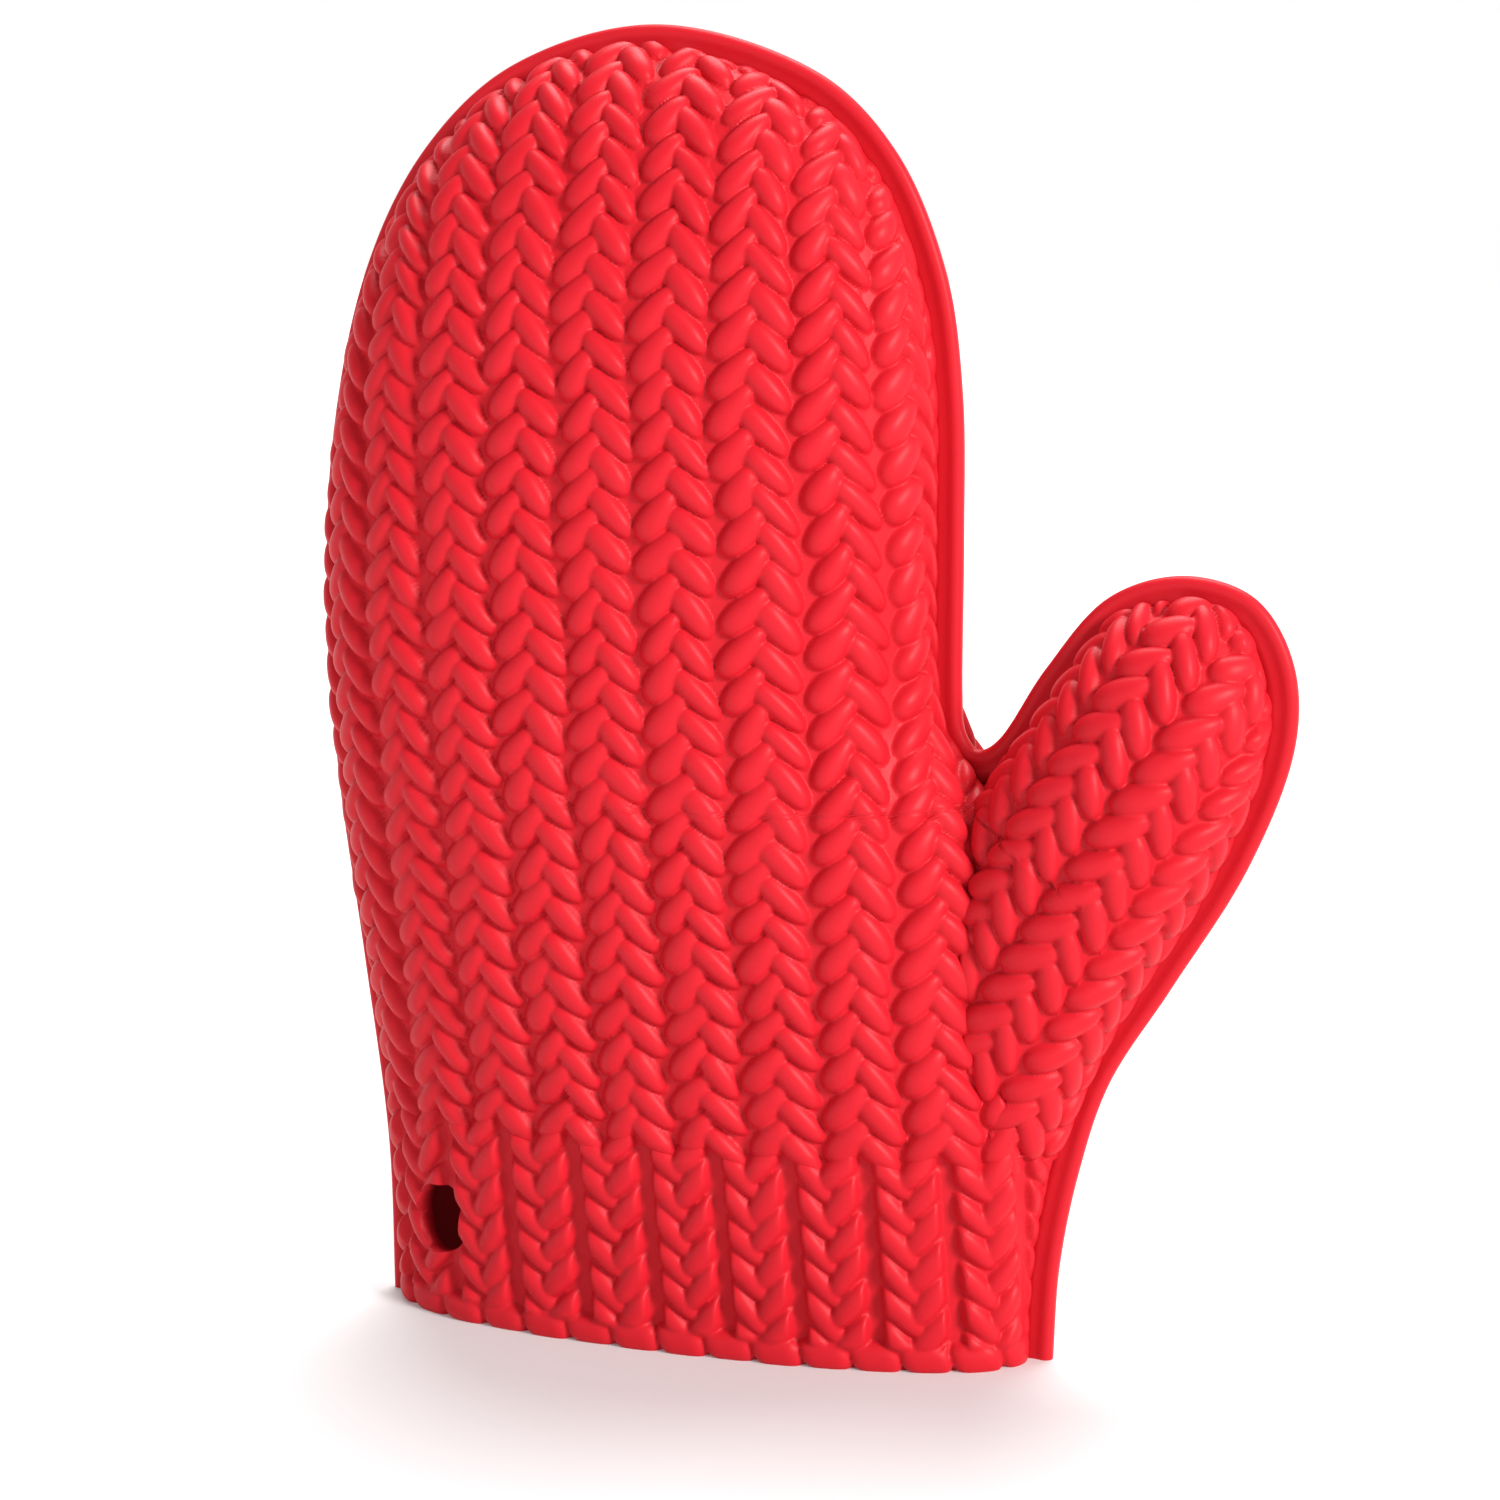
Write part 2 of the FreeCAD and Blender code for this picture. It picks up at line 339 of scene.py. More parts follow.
def surface_normals(points):
    """Outward unit normals of a grid of points, from the cross of its two directions."""
    normal = np.cross(np.gradient(points, axis=1), np.gradient(points, axis=0))
    normal = normal * np.sign(normal[..., 1].mean())
    return normal / np.maximum(np.linalg.norm(normal, axis=-1, keepdims=True), 1e-9)


def grid_quads(rows, columns, first, flip):
    """Quads over a rows by columns grid of vertices that starts at index first."""
    index = first + np.arange(rows * columns).reshape(rows, columns)
    quad = np.stack([index[:-1, :-1], index[:-1, 1:], index[1:, 1:], index[1:, :-1]], -1)
    quad = quad.reshape(-1, 4)
    return quad[:, ::-1] if flip else quad


def edge_strip(fine, coarse, flip):
    """Faces that join a fine row of vertices to a coarse row, one for each coarse gap."""
    gaps = len(coarse) - 1
    runs = fine[np.arange(gaps)[:, None] * COARSE_STEP + np.arange(COARSE_STEP + 1)[None, :]]
    ends = np.stack([coarse[1:], coarse[:-1]], 1)
    faces = np.concatenate([runs, ends], 1)
    return faces[:, ::-1] if flip else faces


def build_mesh(name, points, face_groups):
    """A mesh object from points in millimetres and arrays of equal-sided faces."""
    mesh = bpy.data.meshes.new(name)
    loops = np.concatenate([group.reshape(-1) for group in face_groups])
    sides = np.concatenate([np.full(len(g), g.shape[1]) for g in face_groups])
    starts = np.concatenate([[0], np.cumsum(sides)[:-1]])
    mesh.vertices.add(len(points))
    mesh.vertices.foreach_set("co", (points * MM).astype(np.float32).reshape(-1))
    mesh.loops.add(len(loops))
    mesh.loops.foreach_set("vertex_index", loops.astype(np.int32))
    mesh.polygons.add(len(sides))
    mesh.polygons.foreach_set("loop_start", starts.astype(np.int32))
    mesh.update(calc_edges=True)
    mesh.validate()
    mesh.shade_smooth()
    piece = bpy.data.objects.new(name, mesh)
    bpy.context.scene.collection.objects.link(piece)
    return piece


def sharpen_border(mesh, count, border):
    """Mark the edges round the outer grid sharp, so its shading ends cleanly there."""
    on_border = np.zeros(count, bool)
    on_border[border] = True
    ends = np.empty(len(mesh.edges) * 2, np.int32)
    mesh.edges.foreach_get("vertices", ends)
    sharp = on_border[ends.reshape(-1, 2)].all(axis=1)
    mesh.attributes.new("sharp_edge", "BOOLEAN", "EDGE").data.foreach_set("value", sharp)


def shell_from(name, side, outer, inner, normals=None):
    """A closed shell: a fine outer grid, a coarse inner grid and a strip round their edge.

    outer and inner are grids of (x, out, z), and inner has one point for each COARSE_STEP
    of outer. Where outer's normals are given, two shells that meet shade as one.
    """
    rows, columns = outer.shape[:2]
    low_rows, low_columns = inner.shape[:2]
    points = np.concatenate([outer.reshape(-1, 3), inner.reshape(-1, 3)])
    points = points * np.array([1.0, float(side), 1.0])
    flip = side == BACK
    fine = np.arange(rows * columns).reshape(rows, columns)
    coarse = np.arange(low_rows * low_columns).reshape(low_rows, low_columns) + fine.size
    groups = [
        grid_quads(rows, columns, 0, flip),
        grid_quads(low_rows, low_columns, rows * columns, not flip),
        edge_strip(fine[0], coarse[0], not flip),
        edge_strip(fine[-1], coarse[-1], flip),
        edge_strip(fine[:, 0], coarse[:, 0], flip),
        edge_strip(fine[:, -1], coarse[:, -1], not flip),
    ]
    piece = build_mesh(name, points, groups)
    border = np.concatenate([fine[0], fine[-1], fine[:, 0], fine[:, -1]])
    sharpen_border(piece.data, len(points), border)
    if normals is not None:
        custom = np.zeros((sum(group.size for group in groups), 3))
        custom[: groups[0].size] = normals.reshape(-1, 3)[groups[0].reshape(-1)]
        custom *= np.array([1.0, float(side), 1.0])
        piece.data.normals_split_custom_set(custom.tolist())
    return piece


# ---------------------------------------------------------------- the hand's surface

GRID_STEP = 0.46
HAND_COLUMNS = 45 * COARSE_STEP + 1
THUMB_COLUMNS = 21 * COARSE_STEP + 1
# Angles round a section, a quarter of a degree apart.
ANGLES = np.linspace(0, math.pi, 721)
# How deep under its neighbour a skin is trimmed, and how many rows its trim is smoothed over.
FLUSH_DEPTH = 2.2
HAND_TRIM_ROWS = 10
THUMB_TRIM_ROWS = 6
# The cuff and the palm overlap by a lap on either side of the cuff's top, and each sinks
# past its own end by a step, a slope and a limit.
LAP = 5.0
LAP_SLOPE = 0.22
LAP_STEP = 0.35
LAP_MOST = 1.2
# The part over another starts this far below its edge, sunk by this slope.
TONGUE = 0.5
TONGUE_SLOPE = 0.3
# Where the thumb starts, how far it goes below the cuff's top, how many of ANGLES past
# its crown the hand can cover, and the least angle that a row spans.
THUMB_FOOT = 53.5
THUMB_DROP = 1.5
THUMB_COVER = 200
LEAST_SPAN = 0.02
# The relief's fade at the rim: where it starts, how far it reaches, how much further it
# reaches on the right, from what angle, and its power.
FADE_FROM = 0.8
FADE_REACH = 2.6
FADE_RIGHT = 5.2
FADE_ANGLE = 1.8
FADE_POWER = 0.6
# The relief's fade at a trimmed edge: its reach, its depth and the trim that gives it all.
TUCK_REACH = 2.6
TUCK_DEPTH = 0.75
TUCK_TRIM = 0.06
# How finely curves are measured before they are divided evenly.
CROWN_SAMPLES = 4000
TRIM_SAMPLES = 1400


def even_levels(dome, low, high, step):
    """Distances from low to high, evenly spaced along the dome's crown line."""
    fine = np.linspace(low, high, CROWN_SAMPLES)
    depth = dome.spans(fine)[2]
    run = np.concatenate([[0], np.cumsum(np.hypot(np.diff(fine), np.diff(depth)))])
    count = int(math.ceil(run[-1] / step / COARSE_STEP)) * COARSE_STEP + 1
    return np.interp(np.linspace(0, run[-1], count), run, fine)


def even_angles(dome, first, last, count):
    """A grid of angles, one row for each section, evenly spaced round it.

    Every row has the same count, and runs from its own first angle to its own last.
    """
    section = dome.points(np.full(len(ANGLES), dome.widest), ANGLES)
    run = np.concatenate([[0], np.cumsum(np.linalg.norm(np.diff(section, axis=0), axis=1))])
    low = np.interp(first, ANGLES, run)
    high = np.interp(last, ANGLES, run)
    share = np.linspace(0, 1, count)
    return np.interp(low[:, None] + (high - low)[:, None] * share, run, ANGLES)


def smooth_rows(values, reach):
    """A running mean over neighbouring rows, with the ends held."""
    padded = np.pad(values, reach, "edge")
    return np.convolve(padded, np.ones(2 * reach + 1) / (2 * reach + 1), "valid")


def hand_last_angles():
    """The angle at which each hand section passes under the thumb, or pi at the rim."""
    levels = np.linspace(HAND_LOW, HAND_TOP, TRIM_SAMPLES)
    angles = ANGLES[len(ANGLES) // 2 :]
    points = HAND.points(levels[:, None], angles[None, :])
    under = THUMB.out_at(points[..., 0], points[..., 2]) - points[..., 1] > FLUSH_DEPTH
    found = under.any(axis=1) & (levels > CUFF_TOP - 2 * LAP)
    last = np.where(found, angles[np.argmax(under, axis=1)], math.pi)
    return levels, np.maximum(last, smooth_rows(last, HAND_TRIM_ROWS))


def thumb_angles(levels):
    """First and last angle of each thumb section: from under the hand to the rim or cuff."""
    points = THUMB.points(levels[:, None], ANGLES[None, :])
    over = HAND.out_at(points[..., 0], points[..., 2]) - points[..., 1] < FLUSH_DEPTH
    half = len(ANGLES) // 2 + THUMB_COVER
    last_under = half - 1 - np.argmax(~over[:, :half][:, ::-1], axis=1)
    first = np.where(over[:, :half].all(axis=1), 0.0, ANGLES[last_under])
    above = points[..., 2] > CUFF_TOP - THUMB_DROP
    last = ANGLES[len(ANGLES) - 1 - np.argmax(above[:, ::-1], axis=1)]
    return first, np.maximum(last, first + LEAST_SPAN)


# The column lines lean a little to the left as they rise. COLUMN_LINE is the X of the
# middle one at a level, and COLUMN_SPREAD how much wider the pitch grows by SPREAD_REACH.
MIDDLE_COLUMN = 4
COLUMN_PITCH = 16.2
COLUMN_LEVELS = (0.0, 55.0, 110.0, 163.0, 224.0, 275.0)
COLUMN_LINE = (-22.5, -25.0, -27.4, -29.8, -32.6, -34.0)
COLUMN_SPREAD = (0.0, 0.0, 0.04, 0.08, 0.0, 0.0)
SPREAD_REACH = 75.0
# The slow waves of the columns: their size, and their lengths up and across.
WOBBLES = ((0.55, 11, 13), (0.35, 5.3, -17))
# The grid that the climb is measured on: its spacing up and across, how far across it
# goes and the least and most climb for one level. LAST_INDEX keeps an index inside it.
RISE_SPACING = 0.5
ACROSS_SPACING = 1.0
ACROSS_REACH = 110.0
CLIMB_LIMITS = (0.45, 1.4)
LAST_INDEX = 1.001


class Weave:
    """Where each stitch column lies on a dome: distances across and up its surface.

    across is the distance round the section from the column line, and rise is the
    distance travelled up the surface at a constant across.
    """

    def __init__(self, dome, line_of, low, high, start):
        self.dome = dome
        self.line_of = line_of
        self.levels = np.arange(low, high, RISE_SPACING)
        self.grid = np.arange(-ACROSS_REACH, ACROSS_REACH, ACROSS_SPACING)
        points = dome.points(self.levels[:, None], ANGLES[None, :])
        across = self.across(self.levels, points)
        rows = []
        for i in range(len(self.levels)):
            rows.append([np.interp(self.grid, across[i], points[i, :, c]) for c in range(3)])
        table = np.array(rows)
        step = np.clip(np.linalg.norm(np.diff(table, axis=0), axis=1), *CLIMB_LIMITS)
        climb = np.concatenate([np.zeros((1, len(self.grid))), np.cumsum(step, axis=0)])
        zero = np.searchsorted(self.levels, start)
        self.climb = climb - climb[zero]

    def across(self, levels, points):
        """Distance round each section from the column line, from points on ANGLES."""
        run = np.linalg.norm(np.diff(points, axis=1), axis=2)
        run = np.concatenate([np.zeros((len(levels), 1)), np.cumsum(run, axis=1)], axis=1)
        centre, half, depth = self.dome.spans(levels)
        share = np.clip((centre - self.line_of(levels)) / half, -1, 1)
        angle = np.arccos(np.sign(share) * np.abs(share) ** (1 / self.dome.power))
        at = np.clip(angle / ANGLES[1], 0, len(ANGLES) - LAST_INDEX)
        k = at.astype(int)
        rows = np.arange(len(levels))
        zero = run[rows, k] + (run[rows, k + 1] - run[rows, k]) * (at - k)
        return run - zero[:, None]

    def sample(self, levels, angles):
        """across and rise at a grid of angles, one row for each level."""
        points = self.dome.points(levels[:, None], ANGLES[None, :])
        full = self.across(levels, points)
        across = np.empty(angles.shape)
        rise = np.empty(angles.shape)
        at = (levels - self.levels[0]) / RISE_SPACING
        at = np.clip(at, 0, len(self.levels) - LAST_INDEX)
        k = at.astype(int)
        f = (at - k)[:, None]
        climb = self.climb[k] * (1 - f) + self.climb[k + 1] * f
        for i in range(len(levels)):
            across[i] = np.interp(angles[i], ANGLES, full[i])
            rise[i] = np.interp(across[i], self.grid, climb[i])
        return across, rise


def hand_line(levels):
    """X of the hand's middle column line."""
    return through(COLUMN_LEVELS, COLUMN_LINE, levels)


def hand_columns(levels, across, rise, seed):
    """The column number at each point and the local pitch, wider towards the thumb."""
    spread = through(COLUMN_LEVELS, COLUMN_SPREAD, levels)[:, None]
    pitch = COLUMN_PITCH * (1 + spread * np.clip(across / SPREAD_REACH, 0, 1))
    rng = np.random.default_rng(seed)
    waves, phases = rng.uniform(0.6, 1.4, 2), rng.uniform(0, 6, 2)
    wobble = np.zeros_like(across)
    for (size, up, sideways), wave, phase in zip(WOBBLES, waves, phases):
        wobble += size * np.sin(rise / up * wave + across / sideways + phase)
    return MIDDLE_COLUMN + 0.5 + (across + wobble) / pitch, pitch


HAND_WEAVE = Weave(HAND, hand_line, HAND_LOW, HAND_TOP, start=CUFF_TOP)
THUMB_LINE = -13.8


def thumb_line(levels):
    """Where the thumb's column line crosses the parting plane, across its axis."""
    return np.full_like(levels, THUMB_LINE)


THUMB_WEAVE = Weave(THUMB, thumb_line, THUMB_LOW, THUMB_TOP, start=100.0)
THUMB_PITCH = 15.6
THUMB_COLUMN = 10
# How far up each column its first row lies: the palm's is the same for all of them, and
# the thumb's climbs from column to column, so that they end along the cuff's top.
PALM_FIRST_ROW = 4.6
THUMB_FIRST_ROWS = -46.0 + 7.5 * (np.arange(TABLE_COLUMNS) - THUMB_COLUMN)


def raised(points, height):
    """Points moved out along their surface's normals."""
    return points + surface_normals(points) * height[..., None]


def moulded(name, side, dome, levels, angles, outer, normals=None):
    """A shell with the given outside and, a wall further in, the dome as its inside."""
    levels, angles = levels[::COARSE_STEP, None], angles[::COARSE_STEP, ::COARSE_STEP]
    return shell_from(name, side, outer, dome.points(levels, angles, WALL), normals)


def rim_fade(out, angles):
    """1 over the dome, falling to 0 at the rim: ((out - from) / reach)^power.

    The reach grows to the right past FADE_ANGLE, so the fade there is slower.
    """
    reach = FADE_REACH + FADE_RIGHT * np.clip(angles - FADE_ANGLE, 0, 1)
    return np.clip((out - FADE_FROM) / reach, 0, 1) ** FADE_POWER


def tuck(across, trim, end):
    """1 over a skin, and less near the column at end in rows that are trimmed there.

    trim is how far each row's end is from the rim, in radians of the section. It is 1,
    less TUCK_DEPTH at a trimmed end, and grows back evenly over TUCK_REACH.
    """
    near = np.clip(np.abs(across - across[:, end, None]) / TUCK_REACH, 0, 1)
    trimmed = np.clip(np.abs(trim) / TUCK_TRIM, 0, 1)[:, None]
    return 1 - trimmed * TUCK_DEPTH * (1 - near)


HAND_LAST = hand_last_angles()


def lap_sink(past):
    """How far a skin lies below the surface past its own end, so its neighbour covers it.

    It is LAP_STEP at the end and grows by LAP_SLOPE with the distance past it, between 0
    and LAP_MOST.
    """
    return np.clip(past * LAP_SLOPE + LAP_STEP, 0, LAP_MOST)[:, None]


def hand_skin(name, side, low, high, seed):
    """Part of the hand between two levels, with the knitted relief.

    It is worked out with one more row at each end, so two parts shade alike where they
    meet, and a part over another starts a little below its edge, just under its surface.
    """
    tongue = TONGUE if low >= KNUCKLE else 0.0
    levels = even_levels(HAND, low - tongue, high, GRID_STEP)
    before, after = 2 * levels[0] - levels[1], 2 * levels[-1] - levels[-2]
    levels = np.concatenate([[before], levels, [after]])
    last = np.interp(levels, *HAND_LAST)
    angles = even_angles(HAND, np.zeros_like(levels), last, HAND_COLUMNS)
    base = HAND.points(levels[:, None], angles)
    across, rise = HAND_WEAVE.sample(levels, angles)
    column, pitch = hand_columns(levels, across, rise, seed)
    relief = stitch_relief(FACE, column, pitch, rise, PALM_FIRST_ROW, seed)
    relief = relief * rim_fade(base[..., 1], angles) * tuck(across, last - math.pi, -1)
    relief -= lap_sink(CUFF_TOP - levels)
    outer = raised(base, relief)
    normals = surface_normals(outer)[1:-1]
    below = np.clip(levels - low, -tongue, 0)[:, None]
    outer = raised(outer, below * np.full_like(relief, TONGUE_SLOPE))
    return moulded(name, side, HAND, levels[1:-1], angles[1:-1], outer[1:-1], normals)


def thumb_skin(name, side, seed):
    """The thumb, from under the palm's edge and the cuff's top to its tip."""
    levels = even_levels(THUMB, THUMB_FOOT, THUMB_TOP, GRID_STEP)
    first, last = thumb_angles(levels)
    first = np.minimum(first, smooth_rows(first, THUMB_TRIM_ROWS))
    angles = even_angles(THUMB, first, last, THUMB_COLUMNS)
    base = THUMB.points(levels[:, None], angles)
    across, rise = THUMB_WEAVE.sample(levels, angles)
    column = THUMB_COLUMN + 0.5 + across / THUMB_PITCH
    relief = stitch_relief(FACE, column, THUMB_PITCH, rise, THUMB_FIRST_ROWS, seed)
    relief = relief * rim_fade(base[..., 1], angles) * tuck(across, first, 0)
    return moulded(name, side, THUMB, levels, angles, raised(base, relief))


# ---------------------------------------------------------------- the cuff's surface

# The cast-off edge: its height, bulge, lozenge length and slant, the lozenges' middle and
# half height as shares of its height, and how they vary in height and bulge.
EDGE_HEIGHT = 6.4
EDGE_BULGE = 2.6
LOZENGE = 10.6
EDGE_SLANT = 0.22
EDGE_MIDDLE = 0.44
EDGE_HALF = 0.56
HEIGHT_CHANGE = 0.06
BULGE_CHANGE = 0.1
# The ribs: their share of the pitch, half width and flanks, their first row, the height
# at which they start and over what height they rise. RIB_SEED sets their draws apart.
RIB_SHARE = 0.99
RIB_HALF = 6.7
RIB_FLANK = 1.0
RIB_FIRST_ROW = 3.0
RIB_FOOT = 3.4
RIB_FOOT_FADE = 2.6
RIB_SEED = 5
# The power with which ribs and edge add, for a clear crease between them.
EDGE_SHARPNESS = 8
# How many times taller than wide the hanging hole is, the punch's sides and its two ends.
HOLE_STRETCH = 1.22
PUNCH_SIDES = 72
PUNCH_ENDS = (-7.0, 9.0)


def cuff_relief(levels, across, rise, seed):
    """Ribs of leaf pairs that point down, recessed flats between, and the cast-off edge.

    The ribs are the hand's relief turned upside down and half a column along, with each
    rib's flanks cut straight by a factor ((half - |x|) / flank)^0.5. The edge
    is a row of lozenges: height = bulge * (1 - 0.8*|u|^4 - |v|^2.4)^0.5 over each one,
    where u runs along the edge with a slant and v up it.
    """
    column, pitch = hand_columns(np.full_like(levels, CUFF_TOP), across, rise * 0, seed)
    column = column + 0.5
    seed_of_ribs = seed + RIB_SEED
    ribs = stitch_relief(RIB, column, pitch * RIB_SHARE, -rise, RIB_FIRST_ROW, seed_of_ribs)
    z = levels[:, None]
    ribs = ribs * np.clip((z - RIB_FOOT) / RIB_FOOT_FADE, 0, 1) ** 0.5
    x = np.abs(column - np.floor(column) - 0.5) * pitch
    ribs = ribs * np.clip((RIB_HALF - x) / RIB_FLANK, 0, 1) ** 0.5
    slant = (across + EDGE_SLANT * (z - EDGE_HEIGHT / 2)) / LOZENGE
    change = np.random.default_rng(seed).uniform(-1, 1, TABLE_COLUMNS)
    cell = np.floor(slant).astype(int)
    u = (slant - cell - 0.5) * 2
    half = EDGE_HEIGHT * EDGE_HALF * (1 + HEIGHT_CHANGE * change[cell % TABLE_COLUMNS])
    v = (z - EDGE_HEIGHT * EDGE_MIDDLE) / half
    inside = np.clip(1 - 0.8 * np.abs(u) ** 4 - np.abs(v) ** 2.4, 0, 1)
    bulge = EDGE_BULGE * (1 + BULGE_CHANGE * change[(cell + 7) % TABLE_COLUMNS])
    rope = bulge * inside**0.5
    return (ribs**EDGE_SHARPNESS + rope**EDGE_SHARPNESS) ** (1 / EDGE_SHARPNESS)


def cuff_skin(name, side, seed):
    """The ribbed cuff with its cast-off edge."""
    levels = even_levels(HAND, 0.0, CUFF_TOP + LAP, GRID_STEP)
    ends = np.zeros_like(levels)
    angles = even_angles(HAND, ends, ends + math.pi, HAND_COLUMNS)
    base = HAND.points(levels[:, None], angles)
    across, rise = HAND_WEAVE.sample(levels, angles)
    relief = cuff_relief(levels, across, rise, seed) * rim_fade(base[..., 1], angles)
    relief -= lap_sink(levels - CUFF_TOP)
    return moulded(name, side, HAND, levels, angles, raised(base, relief))


def punch_hole(piece):
    """Cut the hanging hole square to the wall with an oval punch, applied at once."""
    axis = Vector(HOLE["axis"]).normalized()
    centre = Vector(HOLE["pos_m"])
    radius = HOLE["dims"]["r_mm"] * MM
    turn = np.linspace(0, 2 * math.pi, PUNCH_SIDES + 1)[:-1]
    ring = np.stack([np.cos(turn), np.sin(turn) * HOLE_STRETCH], -1) * radius / MM
    points = np.concatenate([np.c_[ring, np.full(PUNCH_SIDES, end)] for end in PUNCH_ENDS])
    near = np.arange(PUNCH_SIDES)
    far = near + PUNCH_SIDES
    walls = np.stack([near, np.roll(near, -1), np.roll(far, -1), far], -1)
    caps = np.stack([near[::-1], far])
    punch = build_mesh("hole_punch", points, [walls, caps])
    turned = axis.to_track_quat("Z", "Y").to_matrix().to_4x4()
    punch.data.transform(Matrix.Translation(centre) @ turned)
    cut = piece.modifiers.new("hole", "BOOLEAN")
    cut.operation = "DIFFERENCE"
    cut.solver = "EXACT"
    cut.object = punch
    graph = bpy.context.evaluated_depsgraph_get()
    mesh = bpy.data.meshes.new_from_object(piece.evaluated_get(graph))
    piece.modifiers.clear()
    old = piece.data
    piece.data = mesh
    mesh.name = piece.name
    bpy.data.meshes.remove(old)
    bpy.data.objects.remove(punch)


# ---------------------------------------------------------------- the rim

RIM_STEP = 1.0
RIM_SAMPLES = 6000
# The rim's section: distance in from its outer edge and height off the parting plane.
# Past the last point a flat flange goes on until it is under the dome.
RIM_SECTION = (
    (0.0, 0.0), (0.05, 0.6), (0.3, 1.2), (0.8, 1.65), (1.5, 1.85), (2.3, 1.75),
    (3.0, 1.5), (3.7, 1.35), (4.6, 1.3),
)
# The flange's least and most width, the step between, the dome's height that covers it,
# and over how many points its width is widened and then smoothed.
RIM_LEAST = 7.2
RIM_MOST = 26.0
RIM_SEARCH = 0.25
RIM_UNDER = 1.7
RIM_WIDEN = 4
RIM_SMOOTH = 2


def rim_path():
    """Points about RIM_STEP apart along the rim's edge, and the direction inwards at each.

    The curve runs through RIM_EDGE against the sum of the roots of its chords.
    """
    edge = np.array(RIM_EDGE)
    chord = np.sqrt(np.linalg.norm(np.diff(edge, axis=0), axis=1))
    chord = np.concatenate([[0], np.cumsum(chord)])
    fine = np.linspace(0, chord[-1], RIM_SAMPLES)
    line = np.stack([through(chord, edge[:, 0], fine), through(chord, edge[:, 1], fine)], -1)
    run = np.concatenate([[0], np.cumsum(np.linalg.norm(np.diff(line, axis=0), axis=1))])
    count = int(run[-1] / RIM_STEP)
    at = np.linspace(0, run[-1], count)
    line = np.stack([np.interp(at, run, line[:, 0]), np.interp(at, run, line[:, 1])], -1)
    along = np.gradient(line, axis=0)
    along /= np.linalg.norm(along, axis=1, keepdims=True)
    along[0] = (0, 1)
    along[-1] = (0, -1)
    inward = np.stack([along[:, 1], -along[:, 0]], -1)
    return line, inward


def flange_width(line, inward):
    """How far in the flange has to go at each point before the dome stands over it."""
    reach = np.arange(RIM_LEAST, RIM_MOST, RIM_SEARCH)
    place = line[:, None, :] + inward[:, None, :] * reach[None, :, None]
    x, z = place[..., 0], place[..., 1]
    over = np.maximum(HAND.out_at(x, z), THUMB.out_at(x, z) * (z > CUFF_TOP)) > RIM_UNDER
    width = np.where(over.any(axis=1), reach[np.argmax(over, axis=1)], RIM_LEAST)
    return smooth_rows(np.maximum(width, smooth_rows(width, RIM_WIDEN)), RIM_SMOOTH)


def rim_strip(name, line, inward):
    """A stretch of rim: the closed section carried along the path, with flat ends."""
    bead = np.array(RIM_SECTION)
    width = flange_width(line, inward)[:, None]
    flat = np.full_like(width, bead[-1, 1])
    inwards, upwards = (np.broadcast_to(column, (len(line), len(bead))) for column in bead.T)
    reach = np.concatenate([inwards, width, width], 1)
    rise = np.concatenate([upwards, flat, -flat], 1)
    back = len(bead) - 1
    reach = np.concatenate([reach, reach[:, back:0:-1]], 1)
    out = np.concatenate([rise, -rise[:, back:0:-1]], 1)
    place = line[:, None, :] + inward[:, None, :] * reach[..., None]
    points = np.stack([place[..., 0], out, place[..., 1]], -1)
    rows, sides = points.shape[:2]
    index = np.arange(rows * sides).reshape(rows, sides)
    around = np.roll(index, -1, axis=1)
    quads = np.stack([index[:-1], index[1:], around[1:], around[:-1]], -1).reshape(-1, 4)
    caps = np.stack([index[0], index[-1][::-1]])
    piece = build_mesh(name, points.reshape(-1, 3), [quads, caps])
    sharpen_border(piece.data, index.size, caps.reshape(-1))
    return piece


# ---------------------------------------------------------------- materials

WHITE = (1, 1, 1, 1)
# The deepest red and dimmest floor as shares of their colours, and the gloss's range.
DEEPER = (0.86, 0.7, 0.74)
DIMMER = 0.985
HAZE = 0.1


class Maths:
    """A shader socket that takes part in Python arithmetic and adds its Math nodes."""

    def __init__(self, nodes, socket):
        self.nodes = nodes
        self.socket = socket

    def _with(self, operation, first, second):
        settings, inputs = {"operation": operation}, {0: first, 1: second}
        return self.nodes.value(self.nodes.add("ShaderNodeMath", settings, inputs))

    def __add__(self, other):
        return self._with("ADD", self, other)

    def __radd__(self, other):
        return self._with("ADD", other, self)

    def __mul__(self, other):
        return self._with("MULTIPLY", self, other)

    def __rmul__(self, other):
        return self._with("MULTIPLY", other, self)


class Nodes:
    """The node tree of a material or a world, emptied."""

    def __init__(self, owner):
        owner.use_nodes = True
        self.tree = owner.node_tree
        self.tree.nodes.clear()

    def add(self, kind, settings=None, inputs=None):
        """Make any node: its type, its settings, which are set first, then its inputs."""
        node = self.tree.nodes.new(kind)
        for key, value in (settings or {}).items():
            setattr(node, key, value)
        for key, value in (inputs or {}).items():
            if isinstance(value, Maths):
                value = value.socket
            if isinstance(value, bpy.types.NodeSocket):
                self.tree.links.new(value, node.inputs[key])
            else:
                node.inputs[key].default_value = value
        return node

    def value(self, node):
        """A node's first output, ready for arithmetic."""
        return Maths(self, node.outputs[0])


def linear(colour):
    """A linear RGBA colour from an sRGB one."""
    channels = [
        c / 12.92 if c <= 0.04045 else ((c + 0.055) / 1.055) ** 2.4 for c in colour[:3]
    ]
    return (*channels, 1.0)


